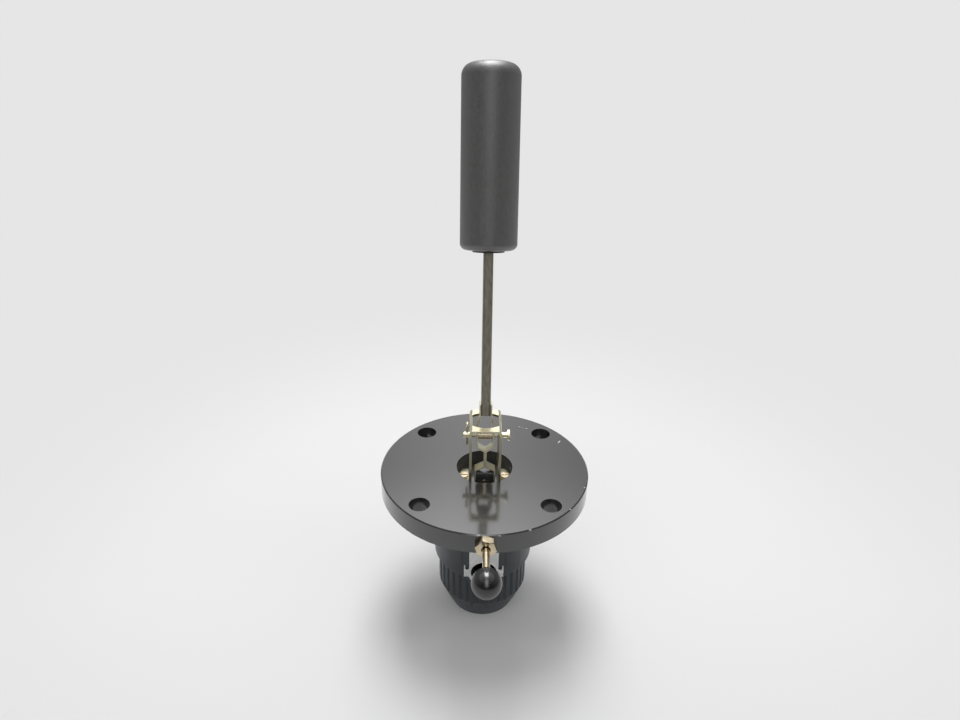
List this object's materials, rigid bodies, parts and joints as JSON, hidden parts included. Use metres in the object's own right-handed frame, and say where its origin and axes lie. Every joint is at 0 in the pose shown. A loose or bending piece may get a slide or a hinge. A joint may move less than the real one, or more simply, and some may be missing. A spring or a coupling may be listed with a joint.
{
  "type": "level switch",
  "caption": "Side-mounting magnetic float level switch: a float arm tilts in its bracket on a bolted flange and works a sealed switch module; a push rod tests it.",
  "frame": {"origin": "centre of the flange's tank-side face", "axes": "+Z out of the flange into the tank, along the upright float arm; -Y towards the test knob and the cable entry"},
  "size_m": [0.155, 0.2049, 0.4054],
  "materials": {
    "flange_black": "satin black coating",
    "housing_black": "cast, black paint with a fine texture",
    "yellow_zinc": "yellow-passivated zinc plate",
    "gold_brass": "bright turned",
    "bright_plate": "bright nickel plate",
    "float_grey": "fine-grained satin moulding",
    "rod_bronze": "drawn, dull bronze tone",
    "magnet_black": "dark ferrite",
    "knob_black": "polished",
    "seal_rubber": "dull",
    "screw_steel": "plain plated steel",
    "module_plastic": "moulded",
    "terminal_plastic": "moulded, cream"
  },
  "bodies": {
    "switch_body": {"mounting_flange": "flange_black", "flange_hub": "flange_black", "flange_gasket": "seal_rubber", "switch_housing": "housing_black", "housing_cap": "housing_black", "cap_seal": "seal_rubber", "cable_entry_plate": "bright_plate", "housing_screws": "screw_steel", "pivot_bracket": "yellow_zinc", "bracket_screws": "gold_brass", "pivot_pin": "yellow_zinc", "split_pin": "yellow_zinc", "gland_nut": "gold_brass", "gland_packing": "seal_rubber", "module_carrier": "screw_steel", "module_screws": "screw_steel", "rocker_axle": "screw_steel", "microswitch": "module_plastic", "terminal_block": "terminal_plastic", "terminal_screws": "gold_brass"},
    "float_arm": {"left_cheek": "yellow_zinc", "right_cheek": "yellow_zinc", "blade_rivets": "screw_steel", "pivot_sleeve": "gold_brass", "arm_magnet": "magnet_black", "arm_rod": "rod_bronze", "float_seat_plate": "magnet_black", "float": "float_grey"},
    "test_rod": {"push_rod": "gold_brass", "push_tip": "gold_brass", "ball_knob": "knob_black"},
    "switch_rocker": {"rocker": "module_plastic", "rocker_magnet": "magnet_black"},
    "contact_plunger": {"switch_plunger": "terminal_plastic"}
  },
  "joints": [
    {"name": "float_swing", "type": "hinge", "parent": "switch_body", "child": "float_arm", "pos_m": [0, 0, 0.0283], "axis": [1, 0, 0], "range_deg": [0, 29]},
    {"name": "test_push", "type": "slide", "parent": "switch_body", "child": "test_rod", "axis": [0, 1, 0], "range_m": [0, 0.001]},
    {"name": "rocker_swing", "type": "hinge", "parent": "switch_body", "child": "switch_rocker", "pos_m": [0, 0, -0.038], "axis": [1, 0, 0], "range_deg": [0, 18.2]},
    {"name": "plunger_travel", "type": "slide", "parent": "switch_body", "child": "contact_plunger", "axis": [0, 1, 0], "range_m": [0, 0.0008]}
  ],
  "couplings": [
    {"joint": "rocker_swing", "follows": "float_swing", "ratio": 0.62069},
    {"joint": "plunger_travel", "follows": "float_swing", "m_per_rad": 0.0015}
  ]
}
